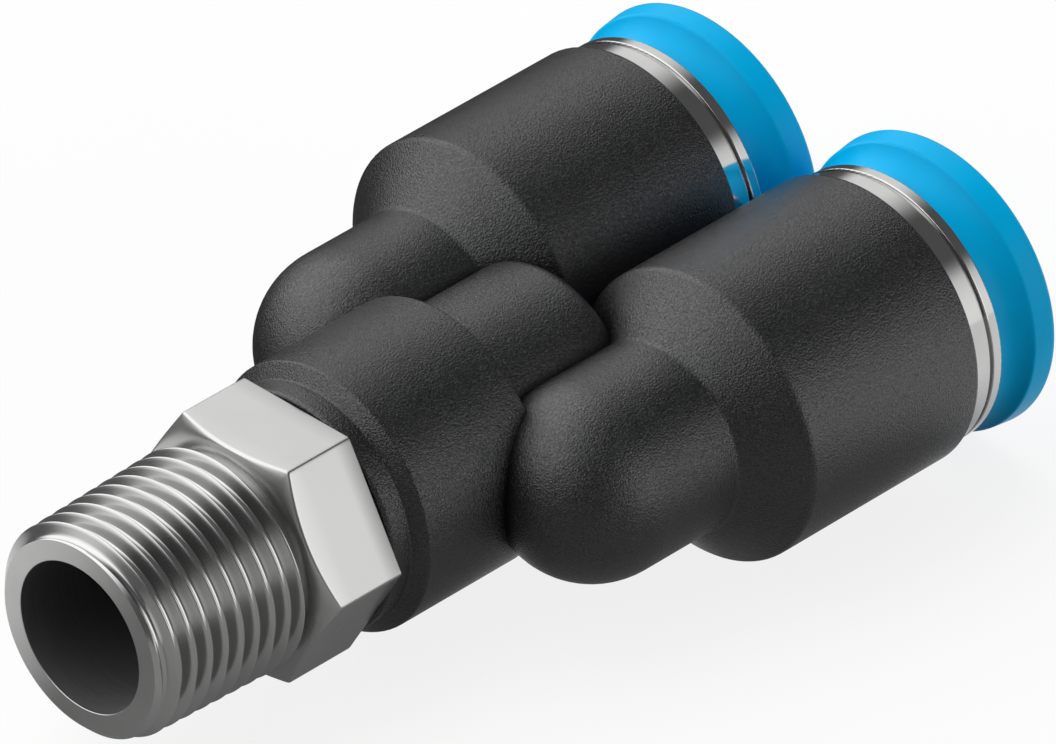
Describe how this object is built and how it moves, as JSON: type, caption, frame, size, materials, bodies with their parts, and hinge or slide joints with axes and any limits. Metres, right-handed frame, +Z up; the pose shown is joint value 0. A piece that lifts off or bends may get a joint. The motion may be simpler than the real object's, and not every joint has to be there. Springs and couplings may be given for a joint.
{
  "type": "push-in y fitting",
  "caption": "Push-in Y fitting: a swivelling taper-threaded metal stem with a hexagon feeds parallel tube sockets with blue release rings.",
  "frame": {"origin": "on the stem axis, in the plane of the hexagon's front face, where the male thread ends", "axes": "+X along the stem axis towards the tube sockets, +Y towards the left socket, +Z up, square to the plane of the Y"},
  "size_m": [0.0915, 0.0568, 0.0282],
  "materials": {
    "housing_plastic": "fine spark-eroded texture, half gloss",
    "plated_brass": "bright nickel plate on turned brass",
    "release_plastic": "smooth moulded",
    "inner_plastic": "natural moulded",
    "spring_steel": "stamped",
    "black_rubber": "smooth"
  },
  "bodies": {
    "housing": {"housing": "housing_plastic", "stem_clip": "spring_steel", "left_collar": "plated_brass", "left_claw_ring": "spring_steel", "left_claw_seat": "inner_plastic", "left_tube_seal": "black_rubber", "right_collar": "plated_brass", "right_claw_ring": "spring_steel", "right_claw_seat": "inner_plastic", "right_tube_seal": "black_rubber"},
    "stem": {"threaded_stem": "plated_brass", "stem_o_ring": "black_rubber"},
    "left_release_ring": {"left_release_ring": "release_plastic"},
    "right_release_ring": {"right_release_ring": "release_plastic"}
  },
  "joints": [
    {"name": "stem_swivel", "type": "hinge", "parent": "housing", "child": "stem", "pos_m": [0.016, 0, 0], "axis": [1, 0, 0], "continuous": true},
    {"name": "left_release", "type": "slide", "parent": "housing", "child": "left_release_ring", "axis": [-1, 0, 0], "range_m": [0, 0.0012], "stiffness_N_per_m": 3000},
    {"name": "right_release", "type": "slide", "parent": "housing", "child": "right_release_ring", "axis": [-1, 0, 0], "range_m": [0, 0.0012], "stiffness_N_per_m": 3000}
  ]
}
